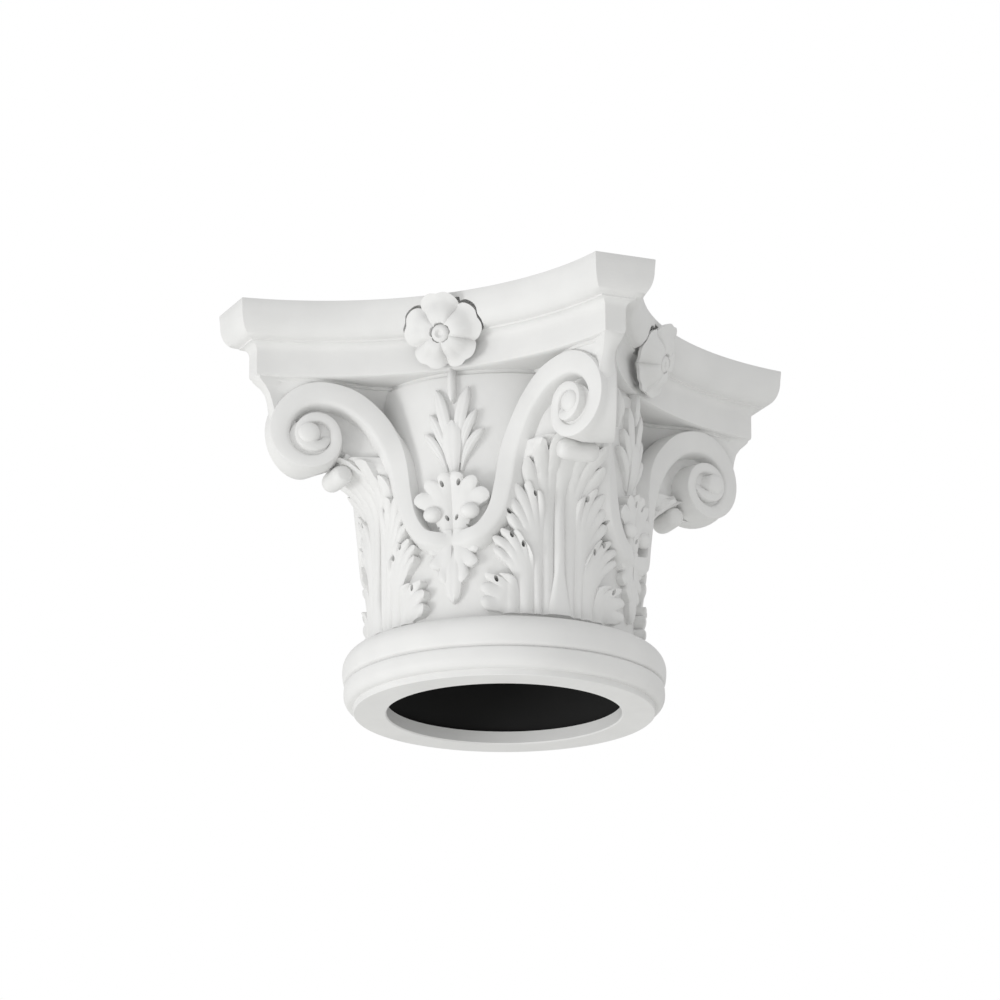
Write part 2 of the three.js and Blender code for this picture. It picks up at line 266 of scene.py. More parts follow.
# Bands and volutes on the front face, in face view: x to the right, z up
scroll = {
    "x": 133.0, "depth": 168.0, "z": 258.0, "turn": math.radians(24), "squash": 0.92, "melt": 4.0,
    "deep": 26.0, "leastDeep": 5.0, "cornerShare": 0.75, "cornerSpare": 2.0,
    "bandFace": 145.5, "bandHalf": 7.0, "widening": 1.2, "dive": 7.0, "diveShare": 0.2,
    "channel": 14.0, "trough": (111.0, 15.0, 11.0),  # trough: middle, spread and drop
    "bandSteps": 9, "spiralSteps": 73,
    "bandLine": [(0, 145), (14, 144), (32, 150), (46, 170), (53, 197), (58, 226), (67, 252), (81, 275),
                 (104, 295)],
    "bandRamp": [(0, 13), (0.08, 13), (0.24, 7), (0.4, 2.5), (0.5, 3), (0.6, 6), (0.7, 6), (0.82, 4)],
    "turns": [  # turns from the top, reach, half width, lift and ramp
        (-0.1, 45.5, 10.5, 0, 4), (0, 43.5, 11.5, 0, 4), (0.12, 39.8, 10, 0, 3.5), (0.25, 36.2, 8.2, 0, 3),
        (0.38, 31.2, 7, 0, 2.5), (0.5, 27.4, 6.2, 0, 2.5), (0.62, 23.4, 5.8, -0.5, 2.2),
        (0.75, 19.2, 5, -0.5, 2), (0.88, 18, 4.8, 1.5, 2), (1, 17.2, 4.8, 3.5, 2), (1.12, 16.4, 5, 5, 2),
        (1.25, 15.4, 5.2, 6, 2), (1.38, 14, 5.4, 6, 2), (1.5, 12.6, 5.2, 4.5, 2), (1.62, 11.4, 4.6, 1.5, 2),
        (1.72, 10.6, 4, -3, 2)],
}
filletSection = [  # across in half widths, ramp share on the channel side, stand-off
    (1, 0, None), (1, 0, -1.8), (0.93, 0, -0.5), (0.6, 0, 0.3), (0, 0, 0.5), (-0.6, 0, 0.3), (-0.9, 0, -0.4),
    (-1, 0.05, -1.6), (-1, 0.35, -5), (-1, 0.65, -9), (-1, 1, None),
]


def frontDepth(x):
    wide = np.abs(x)
    plane = scroll["depth"] + (wide - scroll["x"]) * math.tan(scroll["turn"])
    drum = np.sqrt(np.maximum(scroll["bandFace"] ** 2 - wide ** 2, 0))
    return scroll["melt"] * np.logaddexp(plane / scroll["melt"], drum / scroll["melt"])


def onFront(x, z, out):  # a spot on the front of the bands and volutes, moved along its outward direction
    x, z, out = np.broadcast_arrays(np.asarray(x, float), z, out)
    slope = frontDepth(x + 0.5) - frontDepth(x - 0.5)
    size = np.hypot(slope, 1)
    return np.stack([x - out * slope / size, -frontDepth(x) - out / size, z], -1)


def turnAt(turn):  # reach, half width, lift and ramp of the spiral
    table = throughPoints(scroll["turns"], 8)
    return [np.interp(turn, table[:, 0], column) for column in table.T[1:]]


def aroundScroll(turn, reach):
    swing = quarterTurn - turn * 2 * math.pi
    x = scroll["x"] + scroll["squash"] * reach * np.cos(swing)
    return np.stack([x, scroll["z"] + reach * np.sin(swing)], -1)


def scrollLine():  # x, z, half width, lift and ramp along one band and its spiral
    turn = np.linspace(0, scroll["turns"][-1][0], scroll["spiralSteps"])
    reach, half, lift, ramp = turnAt(turn)
    spiral = np.column_stack([aroundScroll(turn, reach), half, lift, ramp])
    lead = [spot[:2] for spot in spiral[:9:4]]  # these three carry the band's curve into the spiral
    band = throughPoints(scroll["bandLine"] + lead, scroll["bandSteps"])[:-2 * scroll["bandSteps"] - 1]
    share = np.linspace(0, 1, len(band))
    half = scroll["bandHalf"] + (half[0] - scroll["bandHalf"]) * share ** scroll["widening"]
    lift = -scroll["dive"] * (1 - ease(0, scroll["diveShare"], share))
    ramp = readOff(share, scroll["bandRamp"] + [(1, ramp[0])])
    return np.vstack([np.column_stack([band, half, lift, ramp]), spiral])


def makeScroll(side):
    line = scrollLine()
    along = np.gradient(line[:, :2], axis=0)
    along /= np.linalg.norm(along, axis=1)[:, None]
    ring = []
    for across, share, out in filletSection:
        reach = line[:, 2] * across - line[:, 4] * share
        x = line[:, 0] - along[:, 1] * reach
        z = line[:, 1] + along[:, 0] * reach
        deep = (frontDepth(x) - x) * scroll["cornerShare"] + scroll["cornerSpare"]  # keeps to its side
        deep = np.clip(deep, scroll["leastDeep"], scroll["deep"])
        ring.append(onFront(side * x, z, line[:, 3] + out if out is not None else -deep))
    return skin("scroll", np.stack(ring, 1))


eye = {  # levels: share of the radius and stand-off
    "steps": 28,
    "floor": {"radius": 23.0, "shift": (4.0, -4.0),
              "levels": [(0.8, -24), (1, -13), (1, -4.5), (0.9, -3.8)]},
    "boss": {"radius": 11.0, "shift": (7.0, 0.0),
             "levels": [(1.12, -3.2), (1.02, 1), (1, 4.5), (0.9, 7.2), (0.68, 8.8), (0.36, 9.6),
                        (0.15, 9.8)]},
}


def makeEye(side):  # boss at the middle of a spiral, on a round floor
    swing = fullCircle(eye["steps"])
    rows = []
    for part in (eye["floor"], eye["boss"]):
        aside, above = part["shift"]
        for share, out in part["levels"]:
            radius = part["radius"] * share
            x = scroll["x"] + aside + scroll["squash"] * radius * np.cos(swing)
            rows.append(onFront(side * x, scroll["z"] + above + radius * np.sin(swing), out))
    return skin("eye", rows)


def acrossCorner(points):  # mirror image over the corner's diagonal
    return np.stack([-points[..., 1], -points[..., 0], points[..., 2]], -1)


def channelFloor(spot):  # face of the corner mass: it drops away beside the eye
    middle, spread, drop = scroll["trough"]
    sunk = scroll["channel"] + drop * np.exp(-((spot[..., 0] - middle) / spread) ** 2)
    return onFront(spot[..., 0], spot[..., 1], -sunk)


cornerMass = {
    "turns": 0.66, "discSteps": 40, "tailSteps": 5, "middle": (112.0, 250.0),
    "shares": (0.15, 0.4, 0.65, 0.85, 1.0),
    "reach": [(0, 46), (0.12, 41), (0.25, 36), (0.38, 32), (0.5, 29.5)],  # by turns from the top
    "tail": [(100, 234), (88, 229), (80, 223), (72, 216), (62, 207), (58, 213), (64, 238), (78, 268),
             (100, 289)],
}


def makeCornerMass():  # body between the two volutes of a corner
    turn = np.linspace(0, cornerMass["turns"], cornerMass["discSteps"])
    disc = aroundScroll(turn, readOff(turn, cornerMass["reach"]))
    outline = np.vstack([disc, throughPoints(cornerMass["tail"], cornerMass["tailSteps"])])
    middle = np.array(cornerMass["middle"])
    rows = [channelFloor(middle + (outline - middle) * share) for share in cornerMass["shares"]]
    first = channelFloor(middle)
    rows += [acrossCorner(row) for row in reversed(rows)]
    return skin("cornerMass", rows, first, acrossCorner(first))


cornerRim = {  # edges: growth beyond the spiral and stand-off
    "turns": (-0.02, 0.6), "steps": 44, "outer": (-1.2, -1.8), "lower": (-0.4, -6.0), "inner": (-13.0, -5.0),
}


def makeRim():  # smooth band that joins the two volutes' outer edges
    turn = np.linspace(*cornerRim["turns"], cornerRim["steps"])
    reach, half = turnAt(turn)[:2]

    def edge(grow, out):
        spot = aroundScroll(turn, reach + half + grow)
        return onFront(spot[:, 0], spot[:, 1], out)

    outer, lower, inner = [edge(*cornerRim[name]) for name in ("outer", "lower", "inner")]
    ring = [outer, lower, (lower + acrossCorner(lower)) / 2, acrossCorner(lower), acrossCorner(outer),
            acrossCorner(inner), inner]
    return skin("rim", np.stack(ring, 1))


web = {  # plan: reach and half width; levels: height, share of the width, lip and share of the reach
    "plan": [(110, 30), (140, 21), (160, 18), (176, 20), (200, 21), (222, 17), (238, 11), (250, 8)],
    "levels": [(236, 0.45, 0, 0.78), (276, 0.5, 0, 0.88), (296, 0.62, 0, 0.95), (305, 0.85, 0, 1),
               (313, 1, 0, 1), (313.8, 1, 1.6, 1), (318, 1, 1.6, 1)],
    "steps": 5,
}


def makeWeb(facing):  # wall between bell and corner that carries the backs of two volutes
    reach, half = throughPoints(web["plan"], web["steps"]).T
    rows = []
    for z, share, lip, short in web["levels"]:
        wide = np.concatenate([half * share + lip, -(half * share + lip)[::-1]])
        far = np.concatenate([reach, reach[::-1]]) * short
        rows.append(outward(facing, far, wide, z))
    return skin("web", rows)


bracket = {  # line: reach, height and half width
    "line": [(246, 258, 9), (250.5, 271, 9), (253.5, 283, 8.5), (255.5, 293, 7), (258, 301, 6.5),
             (262.5, 307.5, 7.5), (267, 311.5, 9), (270, 314.5, 10), (271, 319, 11)],
    "deep": 20.0, "rounding": 2.2,
}


def makeBracket(facing):  # horn between the volutes and the abacus corner
    across = np.array([-1, -0.5, 0, 0.5, 1, 1, -1])
    behind = np.array([0, 0, 0, 0, 0, 1, 1]) * bracket["deep"]
    rows = []
    for reach, z, half in bracket["line"]:
        rows.append(outward(facing, reach - behind - bracket["rounding"] * across ** 2, half * across, z))
    return skin("bracket", rows)


# Corner leaf: it leaves the bell upwards to carry the volutes
leafGround = {
    "rise": [(160, 0), (180, 1), (192, 3), (207, 9.5), (219, 19.5), (229, 32), (237, 47)],  # by height
    "half": 47.0, "melt": 2.5, "clear": 0.5, "foot": 150.0, "top": 237.0, "proud": 0.5, "sink": -7.0,
    "across": 25, "along": 24,
}


def leafRise(arc, z):
    swing = math.pi / 4 - np.minimum(np.abs(arc) / bell["arcRadius"], math.pi / 4)
    lean = math.tan(scroll["turn"])
    plane = (scroll["depth"] - scroll["x"] * lean) / (np.cos(swing) - lean * np.sin(swing))
    limit = np.maximum(plane, scroll["bandFace"]) - scroll["channel"] - leafGround["clear"] - bellRadius(z)
    rise = readOff(z, leafGround["rise"])
    return -leafGround["melt"] * np.logaddexp(-rise / leafGround["melt"], -limit / leafGround["melt"])


def makeCup(facing):  # body behind the leaf's tip, up into the corner mass
    wide = np.linspace(-leafGround["half"], leafGround["half"], leafGround["across"])
    tall = np.linspace(leafGround["foot"], leafGround["top"], leafGround["along"])
    arc, z = np.meshgrid(wide, tall)
    front = overBell(facing, arc, z, leafRise(arc, z) + leafGround["proud"])
    return shell("cup", front, overBell(facing, arc, z, leafGround["sink"]))


# Each tier of the leaf rises as a pipe beside the midrib and spreads into a scalloped edge
leafTiers = [
    {"root": (59, 41), "crest": 11.0, "holes": [3],
     "tips": [(80, 77), (81, 92), (76, 106), (58, 105)]},
    {"root": (42, 26.4), "crest": 10.5, "holes": [3, 4],
     "tips": [(68, 130), (69, 142), (60, 151), (44, 149), (34, 134)]},
    {"root": (27.4, 17.4), "crest": 10.0, "holes": [1, 4],
     "tips": [(56, 165), (56, 181), (51, 196), (34, 198), (22, 188)]},
    {"root": (18.4, 5), "crest": 7.0, "holes": [1],
     "tips": [(40, 215), (32, 233), (15, 238)]},
]
frondShape = {
    "across": 7, "along": 20, "rootZ": 66.5, "notch": 0.13, "scallop": 0.98, "foot": 3.0, "crest": 8.0,
    "rise": 1.3, "pipe": 3.4, "finger": 2.4, "ridge": 2.4, "curl": 1.8, "curlFrom": 0.7, "drop": 2.0,
    "dropFrom": 0.88, "sink": -7.0, "split": (0.55, 0.95), "onLeaf": True,
    "low": (0, 0.4), "high": (0.12, 0.84),  # handles of its curve, as shares from root to tip
}


def frond(name, facing, side, leaf):
    shape = {**frondShape, **leaf}
    tips = np.array(shape["tips"], float)
    count = len(tips)
    v = np.linspace(0, 1, count * shape["across"] + 1)
    finger = np.minimum(np.floor(v * count), count - 1)
    w = 2 * (v * count - finger) - 1
    knots = np.concatenate([[0], (np.arange(count) + 0.5) / count, [1]])
    ends = np.vstack([1.5 * tips[0] - 0.5 * tips[1], tips, 1.5 * tips[-1] - 0.5 * tips[-2]])
    tip = np.stack([np.interp(v, knots, ends[:, 0]), np.interp(v, knots, ends[:, 1])], -1)
    first, last = shape["root"]
    root = np.stack([first + (last - first) * v, shape["rootZ"] + 0 * v], -1)
    low = root + (tip - root) * shape["low"]
    high = root + (tip - root) * shape["high"]
    u = np.linspace(0, 1, shape["along"])[:, None]
    s = u * (1 - shape["notch"] * (1 - np.sqrt(1 - shape["scallop"] * w ** 2)))
    t = s[..., None]
    spot = (1 - t) ** 3 * root + 3 * (1 - t) ** 2 * t * low + 3 * (1 - t) * t ** 2 * high + t ** 3 * tip
    split = ease(*shape["split"], s)
    out = shape["foot"] + (shape["crest"] - shape["foot"]) * s ** shape["rise"]
    out = out + shape["pipe"] * (1 - (2 * v - 1) ** 2) * (1 - split)
    out = out + shape["finger"] * (1 - np.abs(w) ** shape["ridge"]) * split
    out = out + shape["curl"] * ease(shape["curlFrom"], 1, s)
    out = out - shape["drop"] * ease(shape["dropFrom"], 1, u) ** 2
    arc, z = side * spot[..., 0], spot[..., 1]
    out = out + leafRise(arc, z) if shape["onLeaf"] else out
    return shell(name, overBell(facing, arc, z, out), overBell(facing, arc, z, shape["sink"]))


midrib = {  # path: reach and height; half width and flatness by height
    "path": [(138, 66.5), (138.5, 110), (138.5, 160), (139.5, 184), (144, 200), (153, 214), (166, 226),
             (184, 233)],
    "half": [(66.5, 13), (108, 5.5), (188, 5.5), (204, 11), (218, 18), (233, 20)],
    "flat": [(58, 6), (100, 5), (125, 2.2)],
    "thick": 11.0, "crown": 3.0, "sunk": 1.5, "across": 17, "steps": 6,
}


def makeMidrib(facing):
    line = throughPoints(midrib["path"], midrib["steps"])
    along = np.gradient(line, axis=0)
    along /= np.linalg.norm(along, axis=1)[:, None]
    normal = np.stack([along[:, 1], -along[:, 0]], -1)
    half = readOff(line[:, 1], midrib["half"])
    t = np.linspace(-1, 1, midrib["across"])
    flat = readOff(line[:, 1], midrib["flat"])[:, None]
    out = midrib["crown"] * (1 - np.abs(t)[None, :] ** flat) - midrib["sunk"]

    def place(stand):
        reach = line[:, :1] + normal[:, :1] * stand
        z = line[:, 1:] + normal[:, 1:] * stand
        angle = facing + half[:, None] * t / np.maximum(line[:, :1], bell["arcRadius"])
        return np.stack([reach * np.cos(angle), reach * np.sin(angle), z + 0 * angle], -1)

    return shell("midrib", place(out), place(-midrib["thick"] + 0 * out))


roll = {"reach": 181.0, "z": 222.5, "radius": 10.5, "half": 20.5, "endLoss": 0.65, "rings": 17, "steps": 24}


def makeRoll(facing):  # the leaf's curled tip
    share = np.sin(np.linspace(-math.pi / 2, math.pi / 2, roll["rings"]))
    full = np.sqrt(1 - roll["endLoss"] * np.abs(share) ** 6)
    swing = fullCircle(roll["steps"])
    rows = []
    for s, f in zip(share, full):
        reach = roll["reach"] + roll["radius"] * f * np.cos(swing)
        z = roll["z"] + roll["radius"] * f * np.sin(swing)
        rows.append(outward(facing, reach, roll["half"] * s, z))
    return skin("roll", rows)


# Face ornaments: sprig on the bell, knot where the bands meet, palmette hanging below it
leafletShape = {
    "across": 11, "along": 14, "lift": 6.0, "liftBy": 0.6, "crown": 2.6, "bow": 0.0, "sink": -6.0,
    "groove": 0.8, "grooveWide": 0.22, "narrow": 0.45, "tipFrom": 0.7, "drop": 2.5, "dropFrom": 0.8,
}
sprig = [
    {"root": (4, 222), "tip": (17, 298), "half": 6.0, "bow": 0.08},
    {"root": (7, 222), "tip": (25, 274), "half": 4.6, "bow": 0.12},
    {"root": (8, 214), "tip": (32, 255), "half": 4.6, "bow": 0.16},
]
sprigMiddle = [
    {"root": (0, 206), "tip": (0, 265), "half": 9.5, "lift": 7.5},
    {"root": (0, 332), "tip": (0, 283), "half": 3.8, "lift": 6.0, "groove": 0.0},
]
knotTier = {
    "root": (15, -1), "rootZ": 142, "tips": [(37, 189), (25, 204), (8, 209)], "foot": 4.0, "crest": 14.0,
    "finger": 1.7, "along": 18, "onLeaf": False,
}
palmetteTier = {
    "root": (13, 1), "rootZ": 153, "tips": [(27, 134), (26, 119), (14, 103)], "foot": 8.0, "crest": 5.5,
    "notch": 0.18, "pipe": 1.5, "along": 18, "onLeaf": False,
}
palmetteMiddle = {"root": (0, 152), "tip": (0, 79), "half": 9.0, "lift": 6.5}


def leaflet(name, facing, side, leaf):
    shape = {**leafletShape, **leaf}
    root, tip = np.array(shape["root"], float), np.array(shape["tip"], float)
    gap = tip - root
    handle = root + gap / 2 + shape["bow"] * np.array([-gap[1], gap[0]]) * (1 if gap[0] >= 0 else -1)
    u = np.linspace(0, 1, shape["along"])
    t = u[:, None]
    centre = (1 - t) ** 2 * root + 2 * (1 - t) * t * handle + t ** 2 * tip
    heading = np.gradient(centre, axis=0)
    heading /= np.linalg.norm(heading, axis=1)[:, None]
    pastTip = np.clip((u - shape["tipFrom"]) / (1 - shape["tipFrom"]), 0, 1)
    wide = shape["half"] * (shape["narrow"] + (1 - shape["narrow"]) * ease(0, shape["liftBy"], u))
    wide = wide * np.sqrt(1.02 - pastTip ** 2)  # a round tip that keeps a little width
    w = np.linspace(-1, 1, shape["across"])
    arc = centre[:, :1] - heading[:, 1:] * wide[:, None] * w
    z = centre[:, 1:] + heading[:, :1] * wide[:, None] * w
    body = shape["lift"] * ease(-0.1, shape["liftBy"], u) - shape["drop"] * ease(shape["dropFrom"], 1, u) ** 2
    groove = shape["groove"] * np.exp(-(w / shape["grooveWide"]) ** 2)
    out = body[:, None] + shape["crown"] * (1 - w ** 2) - groove
    return shell(name, overBell(facing, side * arc, z, out), overBell(facing, side * arc, z, shape["sink"]))


knotCurl = {"arc": 19.5, "z": 169.5, "out": 11.5, "radii": (9.5, 8.0, 8.0), "steps": 20, "rings": 11}


def makeCurl(facing, side):  # round bud at each side of the knot
    swing = fullCircle(knotCurl["steps"])
    long, tall, proud = knotCurl["radii"]
    rows = []
    for a in np.radians(np.linspace(-80, 80, knotCurl["rings"])):
        arc = knotCurl["arc"] + long * math.sin(a)
        z = knotCurl["z"] + tall * math.cos(a) * np.sin(swing)
        out = knotCurl["out"] + proud * math.cos(a) * np.cos(swing)
        rows.append(overBell(facing, side * arc, z, out))
    return skin("curl", rows)


# Flower on each face of the abacus
flower = {
    "depth": 165.0, "z": 347.0, "tilt": math.radians(16), "petals": 5, "long": 42.0, "round": 16, "rings": 10,
    "scallop": 0.24, "cleft": 0.06, "cleftWide": 0.2, "lowerLoss": 0.14,
    "seat": 2.0, "cup": 7.5, "rim": -6.0, "raised": 9.0, "thick": 4.0,
    "crown": 2.4, "crease": 2.8, "creaseWide": 0.13, "gap": 2.8, "gapTop": 34.5,
    "stalk": [(20, -32), (15, -14), (13, -4)],  # radius and stand-off
    "button": 8.5, "dimple": 6.8,  # button levels: share of its radius and stand-off
    "buttonLevels": [(1.1, 2.5), (1.12, 5.5), (1.0, 8.2), (0.8, 9.6), (0.55, 9.8), (0.38, 8.6), (0.25, 7.2)],
    "pocket": [(1.03, 3), (1.01, -9), (0.9, -14)],  # share of the petals' reach and stand-off
}


def onFlower(x, y, out):
    x, y, out = np.broadcast_arrays(x, y, out)
    c, s = math.cos(flower["tilt"]), math.sin(flower["tilt"])
    return np.stack([x, -flower["depth"] - y * s - out * c, flower["z"] + y * c - out * s], -1)


def petalLine():  # angle, place across its petal and reach for each spot on the flower's edge
    swing = quarterTurn + fullCircle(flower["petals"] * flower["round"])
    w = 2 * np.mod((swing - quarterTurn) / (2 * math.pi) * flower["petals"] + 0.5, 1) - 1
    edge = 1 - flower["scallop"] + flower["scallop"] * np.sqrt(1 - 0.97 * w ** 2)
    edge = flower["long"] * (edge - flower["cleft"] * np.exp(-(w / flower["cleftWide"]) ** 2))
    return swing, w, edge * (1 - flower["lowerLoss"] * np.maximum(-np.sin(swing), 0))


def makePocket():  # hollow in the abacus that leaves a dark gap behind the upper petals
    swing, _, edge = petalLine()
    rows = []
    for grow, out in flower["pocket"]:
        y = np.minimum(edge * grow * np.sin(swing) + flower["gap"], flower["gapTop"])  # under the top face
        rows.append(onFlower(edge * grow * np.cos(swing), y, out))
    return skin("pocket", rows)


def makeFlower():
    swing, w, edge = petalLine()
    rim = flower["rim"] + flower["raised"] * np.maximum(np.sin(swing), 0) ** 2  # upper petals lean forward

    def ring(radius, out):
        return onFlower(radius * np.cos(swing), radius * np.sin(swing), out)

    def petals(share):  # stand-off of the petals' front
        cup = flower["cup"] * np.sin(math.pi * min(share * 1.25, 1)) + rim * share ** 2 + flower["seat"]
        crease = np.exp(-((1 - np.abs(w)) / flower["creaseWide"]) ** 2)
        return cup + flower["crown"] * share * (1 - w ** 2) - flower["crease"] * share * crease

    stalk = [ring(radius, out) for radius, out in flower["stalk"]]
    back = [ring(edge * share, petals(share) - flower["thick"]) for share in np.linspace(0.45, 0.97, 6)]
    front = [ring(edge * share, petals(share)) for share in np.linspace(1, 0.27, flower["rings"])]
    button = [ring(flower["button"] * share, out) for share, out in flower["buttonLevels"]]
    first, last = onFlower(0, 0, flower["stalk"][0][1]), onFlower(0, 0, flower["dimple"])
    return skin("flower", stalk + back + front + button, first, last)


# Pits drilled where two lobes meet
pits = {
    "wide": 1.9, "tall": 3.4, "steps": 14, "lobeLong": 45.0, "inset": 6.0,
    "levels": [(-3, 0.3), (3, 0.75), (10, 1.0), (45, 1.3)],  # stand-off and share of the size
    "face": [(8.5, 199, 15), (5, 165, 25), (17, 156, -65)],  # arc, height and tilt on the face ornaments
}


def makePit(facing, arc, z, tilt, rise):
    swing = fullCircle(pits["steps"])
    c, s = math.cos(tilt), math.sin(tilt)
    rows = []
    for out, grow in pits["levels"]:
        x, y = pits["wide"] * grow * np.cos(swing), pits["tall"] * grow * np.sin(swing)
        rows.append(overBell(facing, arc + x * c - y * s, z + x * s + y * c, out + rise))
    return skin("pit", rows)


def leafPits(facing, side, leaf):
    tips = np.array(leaf["tips"], float)
    pieces = []
    for k in leaf["holes"]:  # between lobes k - 1 and k
        edge = (tips[k - 1] + tips[k]) / 2
        root = np.array([sum(leaf["root"]) / 2, edge[1] - pits["lobeLong"]])
        heading = (edge - root) / np.linalg.norm(edge - root)
        spot = edge - heading * pits["inset"]
        tilt = math.atan2(-side * heading[0], heading[1])
        pieces.append(makePit(facing, side * spot[0], spot[1], tilt, float(leafRise(spot[0], spot[1]))))
    return pieces


def quarterPieces():
    pieces = [makeFlower(), makeCornerMass(), makeRim()]
    pieces += [make(cornerAngle) for make in (makeWeb, makeBracket, makeCup, makeMidrib, makeRoll)]
    pieces += [leaflet("sprig", faceAngle, 1, leaf) for leaf in sprigMiddle + [palmetteMiddle]]
    for side in (-1, 1):
        pieces += [makeScroll(side), makeEye(side), makeCurl(faceAngle, side)]
        pieces += [frond("tier", cornerAngle, side, tier) for tier in leafTiers]
        pieces += [frond("knot", faceAngle, side, knotTier), frond("palmette", faceAngle, side, palmetteTier)]
        pieces += [leaflet("sprig", faceAngle, side, leaf) for leaf in sprig]
    return pieces


def holePieces():
    pieces = []
    for side in (-1, 1):
        for tier in leafTiers:
            pieces += leafPits(cornerAngle, side, tier)
        for arc, z, tilt in pits["face"]:
            pieces.append(makePit(faceAngle, side * arc, z, math.radians(-side * tilt), 0))
    return pieces


def turnedCopies(piece):
    copies = []
    for k in range(1, 4):
        copy = piece.copy()
        copy.data = piece.data.copy()
        copy.data.transform(Matrix.Rotation(k * quarterTurn, 4, "Z"))
        bpy.context.scene.collection.objects.link(copy)
        copies.append(copy)
    return [piece] + copies


def dropFlaps(work):  # two faces on the same corners enclose nothing
    sharing = {}
    for face in work.faces:
        sharing.setdefault(frozenset(face.verts), []).append(face)
    flaps = [face for faces in sharing.values() for face in faces[len(faces) % 2:]]
    bmesh.ops.delete(work, geom=flaps, context="FACES_ONLY")
    bmesh.ops.delete(work, geom=[edge for edge in work.edges if not edge.link_faces], context="EDGES")
    bmesh.ops.delete(work, geom=[spot for spot in work.verts if not spot.link_faces], context="VERTS")


def makeCapital():
    pieces = quarterPieces()
    quarter = fuse(pieces[0], pieces[1:], "UNION")
    print("quarter fused,", len(quarter.data.polygons), "faces")
    holes = holePieces()
    drills = fuse(holes[0], holes[1:], "UNION")
    slab = fuse(makeAbacus(), turnedCopies(makePocket()), "DIFFERENCE")
    capital = fuse(makeBell(), [slab] + turnedCopies(quarter), "UNION")
    capital = fuse(capital, turnedCopies(drills) + [makeHollow()], "DIFFERENCE")
    work = bmesh.new()
    work.from_mesh(capital.data)
    bmesh.ops.triangulate(work, faces=work.faces)
    dropFlaps(work)
    work.to_mesh(capital.data)
    work.free()
    capital.data.shade_smooth()
    capital.data.set_sharp_from_angle(angle=sharpAngle)
    print("capital fused,", len(capital.data.polygons), "triangles")
    return capital


# Materials
def linearOf(code):
    parts = [int(code[i:i + 2], 16) / 255 for i in (1, 3, 5)]
    return [c / 12.92 if c <= 0.04045 else ((c + 0.055) / 1.055) ** 2.4 for c in parts] + [1]


# Settings go by socket or property name, links as {socket: output}
def addNode(tree, kind, settings=None, links=None):
    node = tree.nodes.new(kind)
    for key, value in (settings or {}).items():
        if key in node.inputs:
            node.inputs[key].default_value = value
        else:
            setattr(node, key, value)
    for key, output in (links or {}).items():
        tree.links.new(output, node.inputs[key])
    return node


def primedPolyurethane():  # rigid foam moulding under matt white primer: soft broad sheen, faint mottling
    look = {
        "pale": "#e6e6e5", "paleFrom": 0.65, "shade": "#e0e0df", "shadeTo": 0.3, "ior": 1.49,
        "smooth": 0.52, "dull": 0.66, "mottleMm": 60.0,
        "gritMm": 1.6, "gritDeepMm": 0.4, "gritShows": 0.05,  # sprayed grit is finer, drawn coarse to show
    }
    material = bpy.data.materials.new("primedPolyurethane")
    material.use_nodes = True
    tree = material.node_tree
    shader = tree.nodes["Principled BSDF"]
    shader.inputs["IOR"].default_value = look["ior"]
    place = {"Vector": addNode(tree, "ShaderNodeTexCoord").outputs["Object"]}
    mottle = addNode(tree, "ShaderNodeTexNoise", {"Scale": 1 / (look["mottleMm"] * mm), "Detail": 4.0}, place)
    tint = addNode(tree, "ShaderNodeValToRGB", links={"Fac": mottle.outputs["Fac"]})
    tint.color_ramp.elements[0].color = linearOf(look["shade"])
    tint.color_ramp.elements[0].position = look["shadeTo"]
    tint.color_ramp.elements[1].color = linearOf(look["pale"])
    tint.color_ramp.elements[1].position = look["paleFrom"]
    tree.links.new(tint.outputs["Color"], shader.inputs["Base Color"])
    sheen = addNode(tree, "ShaderNodeMapRange", {"To Min": look["smooth"], "To Max": look["dull"]},
                    {"Value": mottle.outputs["Fac"]})
    tree.links.new(sheen.outputs["Result"], shader.inputs["Roughness"])
    grit = addNode(tree, "ShaderNodeTexNoise", {"Scale": 1 / (look["gritMm"] * mm), "Detail": 2.0}, place)
    relief = {"Strength": look["gritShows"], "Distance": look["gritDeepMm"] * mm}
    bump = addNode(tree, "ShaderNodeBump", relief, {"Height": grit.outputs["Fac"]})
    tree.links.new(bump.outputs["Normal"], shader.inputs["Normal"])
    return material


def paintedShadeInHollow():  # painted shade inside the hollow: a near-black colour stands in for the shade deep in the recess; dull, with faint random blotches
    look = {"dark": "#0c0c0c", "shadeBlotch": "#161616", "roughness": 0.85, "ior": 1.49, "blotchMm": 40.0}
    material = bpy.data.materials.new("paintedShadeInHollow")
    material.use_nodes = True
    tree = material.node_tree
    shader = tree.nodes["Principled BSDF"]
    shader.inputs["Roughness"].default_value = look["roughness"]
    shader.inputs["IOR"].default_value = look["ior"]
    place = {"Vector": addNode(tree, "ShaderNodeTexCoord").outputs["Object"]}
    blotch = addNode(tree, "ShaderNodeTexNoise", {"Scale": 1 / (look["blotchMm"] * mm), "Detail": 3.0}, place)
    tint = addNode(tree, "ShaderNodeValToRGB", links={"Fac": blotch.outputs["Fac"]})
    # near-black painted shade, a little lighter in random blotches
    tint.color_ramp.elements[0].color = linearOf(look["dark"])
    tint.color_ramp.elements[1].color = linearOf(look["shadeBlotch"])
    tree.links.new(tint.outputs["Color"], shader.inputs["Base Color"])
    return material


def insideHollow(spot):  # faces above the collar and no further out than the chamber's wall, which get the painted shade
    near = math.hypot(spot.x, spot.y) < (hollow["chamber"] + hollow["shadeSpare"]) * mm
    low, high = hollow["collarZ"] - hollow["shadeLap"], hollow["top"] + hollow["shadeSpare"]
    return near and low * mm < spot.z < high * mm


capital = makeCapital()
capital.data.materials.clear()
capital.data.materials.append(primedPolyurethane())
capital.data.materials.append(paintedShadeInHollow())
# faces inside the hollow take the near-black painted shade, the rest the white primer
for face in capital.data.polygons:
    face.material_index = 1 if insideHollow(face.center) else 0
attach(capital, "root")
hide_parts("capital")
print("capital dressed")


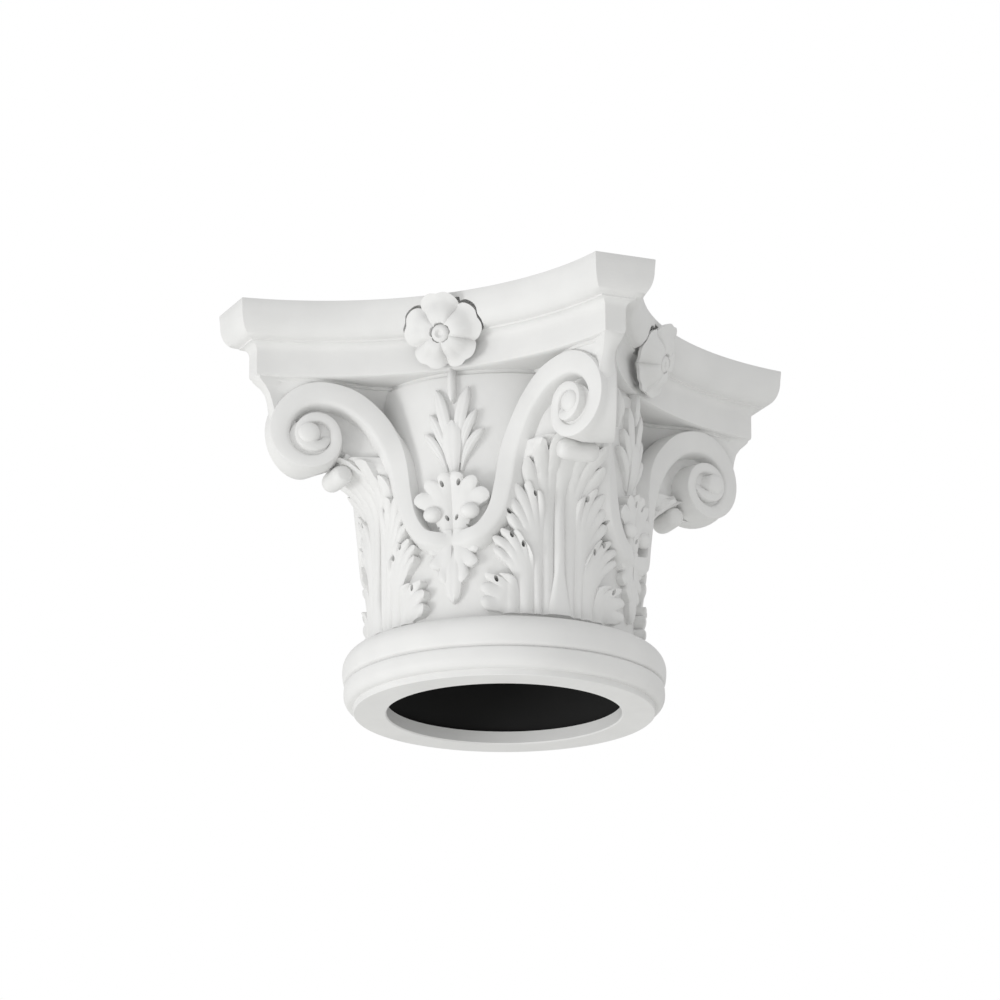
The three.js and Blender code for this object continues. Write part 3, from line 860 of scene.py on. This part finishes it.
# Floor, light and camera, in metres
studio = {
    "floorZ": -2.4, "floorSide": 40.0, "floorColour": "#f4f4f2", "floorRoughness": 0.9,
    "camera": (2.0472, -5.1722, -1.4750), "look": (-0.3527, 0.8891, 0.2919), "lens": 208.6, "sensor": 36.0,
    "clipEnd": 100.0, "skySeen": 1.0, "skyLight": 0.73, "aim": (0, 0, 0.2),
    "key": {"at": (-2.8, -3.4, -1.2), "size": 1.6, "power": 63.0},
    "fill": {"at": (0.4, -2.6, -1.75), "size": 1.1, "power": 10.0},
}


def makeFloor():
    half, z = studio["floorSide"] / 2, studio["floorZ"]
    spots = [(-half, -half, z), (half, -half, z), (half, half, z), (-half, half, z)]
    mesh = bpy.data.meshes.new("floor")
    mesh.from_pydata(spots, [], [(0, 1, 2, 3)])
    floor = bpy.data.objects.new("floor", mesh)
    bpy.context.scene.collection.objects.link(floor)
    paint = bpy.data.materials.new("paleFloorPaint")  # flat pale emulsion: even and without shine
    paint.use_nodes = True
    shader = paint.node_tree.nodes["Principled BSDF"]
    shader.inputs["Base Color"].default_value = linearOf(studio["floorColour"])
    shader.inputs["Roughness"].default_value = studio["floorRoughness"]
    mesh.materials.append(paint)


def addLamp(name, lamp):
    light = bpy.data.lights.new(name, "AREA")
    light.shape = "DISK"
    light.size = lamp["size"]
    light.energy = lamp["power"]
    holder = bpy.data.objects.new(name, light)
    holder.location = lamp["at"]
    aim = Vector(studio["aim"]) - Vector(lamp["at"])
    holder.rotation_euler = aim.to_track_quat("-Z", "Y").to_euler()
    bpy.context.scene.collection.objects.link(holder)


def makeSky():  # seen white behind the object, dimmer as light
    world = bpy.data.worlds.new("studioSky")
    world.use_nodes = True
    tree = world.node_tree
    sky = tree.nodes["Background"]
    sky.inputs["Color"].default_value = (1, 1, 1, 1)
    path = addNode(tree, "ShaderNodeLightPath")
    level = addNode(tree, "ShaderNodeMapRange", {"To Min": studio["skyLight"], "To Max": studio["skySeen"]},
                    {"Value": path.outputs["Is Camera Ray"]})
    tree.links.new(level.outputs["Result"], sky.inputs["Strength"])
    bpy.context.scene.world = world


def makeCamera():
    data = bpy.data.cameras.new("camera")
    data.sensor_width = studio["sensor"]
    data.lens = studio["lens"]
    data.clip_end = studio["clipEnd"]
    camera = bpy.data.objects.new("camera", data)
    camera.location = studio["camera"]
    camera.rotation_euler = Vector(studio["look"]).to_track_quat("-Z", "Y").to_euler()
    bpy.context.scene.collection.objects.link(camera)
    bpy.context.scene.camera = camera


makeFloor()
addLamp("key", studio["key"])
addLamp("fill", studio["fill"])
makeSky()
makeCamera()
bpy.context.scene.view_settings.view_transform = "Standard"
print("studio set")
